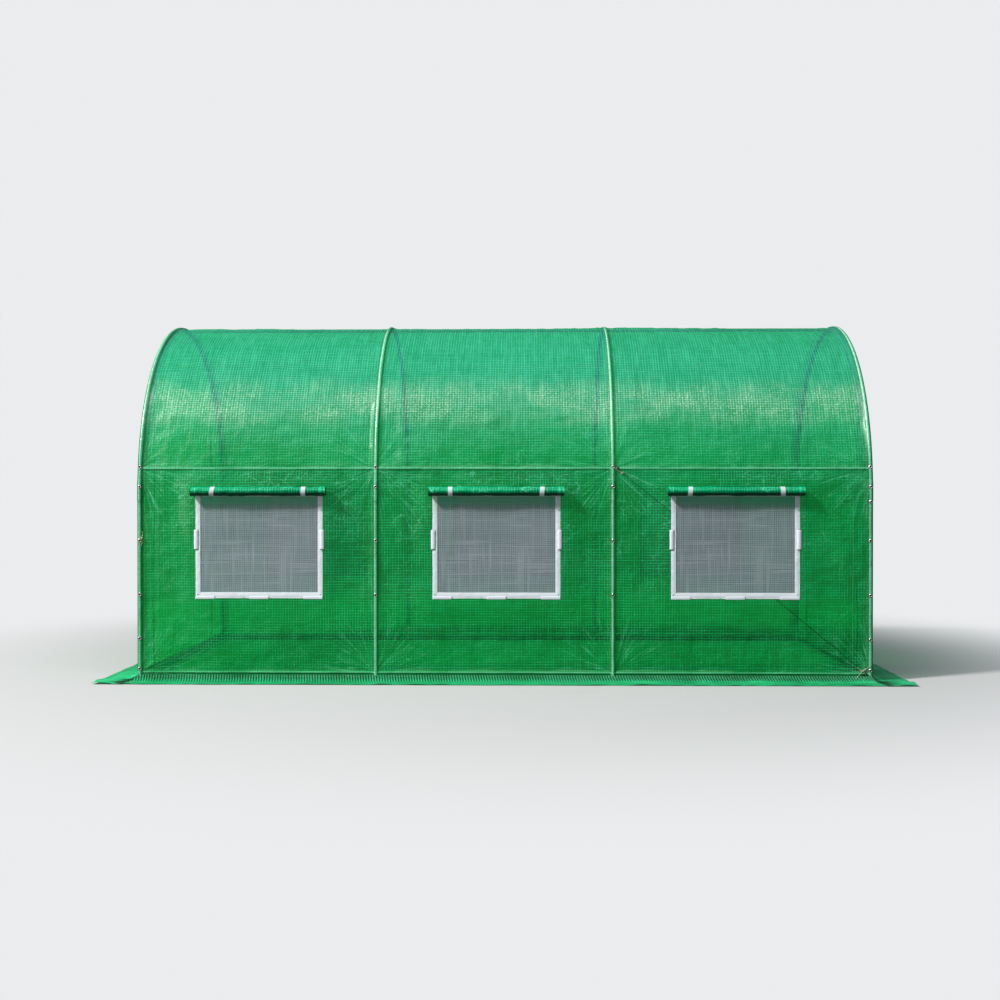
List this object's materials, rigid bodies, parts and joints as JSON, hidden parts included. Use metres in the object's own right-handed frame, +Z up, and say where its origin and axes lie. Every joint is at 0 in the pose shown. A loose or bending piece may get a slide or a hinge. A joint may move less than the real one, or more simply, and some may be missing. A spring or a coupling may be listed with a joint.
{
  "type": "polytunnel greenhouse",
  "caption": "Walk-in garden polytunnel: steel hoops on straight posts under a translucent green film cover, with rolled-up netted side windows, zipped end doors and ground skirts.",
  "frame": {"origin": "On the ground at the middle of the tunnel, which is the bottom centre of the bounding box", "axes": "+X along the tunnel towards the longer bay, +Y from the near wall to the far wall, +Z up"},
  "size_m": [4.4296, 2.3896, 2.0551],
  "materials": {
    "galvanised_tube": "galvanised, satin grey",
    "sleeve": "galvanised, satin grey",
    "rope": "thin dark twisted cord, pulled tight",
    "insect_net": "fine pale insect netting",
    "webbing": "white woven webbing",
    "zip_tape": "dark green zip tape",
    "rolled_film": "rolled green gridded film, glossy",
    "door_film": "translucent green gridded film",
    "skirt_film": "pale teal gridded film, gathered",
    "roof_film": "translucent green gridded film",
    "wall_film": "translucent green gridded film"
  },
  "bodies": {
    "root": {"bow_1": "galvanised_tube", "bow_2": "galvanised_tube", "bow_3": "galvanised_tube", "bow_4": "galvanised_tube", "far_base_rail": "galvanised_tube", "far_eave_rail": "galvanised_tube", "far_posts": "galvanised_tube", "far_roll_straps": "webbing", "far_skirt": "skirt_film", "far_sleeves": "sleeve", "far_wall": "wall_film", "far_window_borders": "webbing", "far_window_nets": "insect_net", "far_window_rolls": "rolled_film", "far_window_tabs": "webbing", "left_base_rail": "galvanised_tube", "left_door": "door_film", "left_door_zips": "zip_tape", "left_end_arch": "wall_film", "left_end_far_panel": "wall_film", "left_end_near_panel": "wall_film", "left_skirt": "skirt_film", "near_base_rail": "galvanised_tube", "near_brace": "rope", "near_eave_rail": "galvanised_tube", "near_posts": "galvanised_tube", "near_roll_straps": "webbing", "near_skirt": "skirt_film", "near_sleeves": "sleeve", "near_wall": "wall_film", "near_window_borders": "webbing", "near_window_nets": "insect_net", "near_window_rolls": "rolled_film", "near_window_tabs": "webbing", "ridge_rail": "galvanised_tube", "right_base_rail": "galvanised_tube", "right_door": "door_film", "right_door_zips": "zip_tape", "right_end_arch": "wall_film", "right_end_far_panel": "wall_film", "right_end_near_panel": "wall_film", "right_skirt": "skirt_film", "roof": "roof_film"}
  },
  "joints": []
}
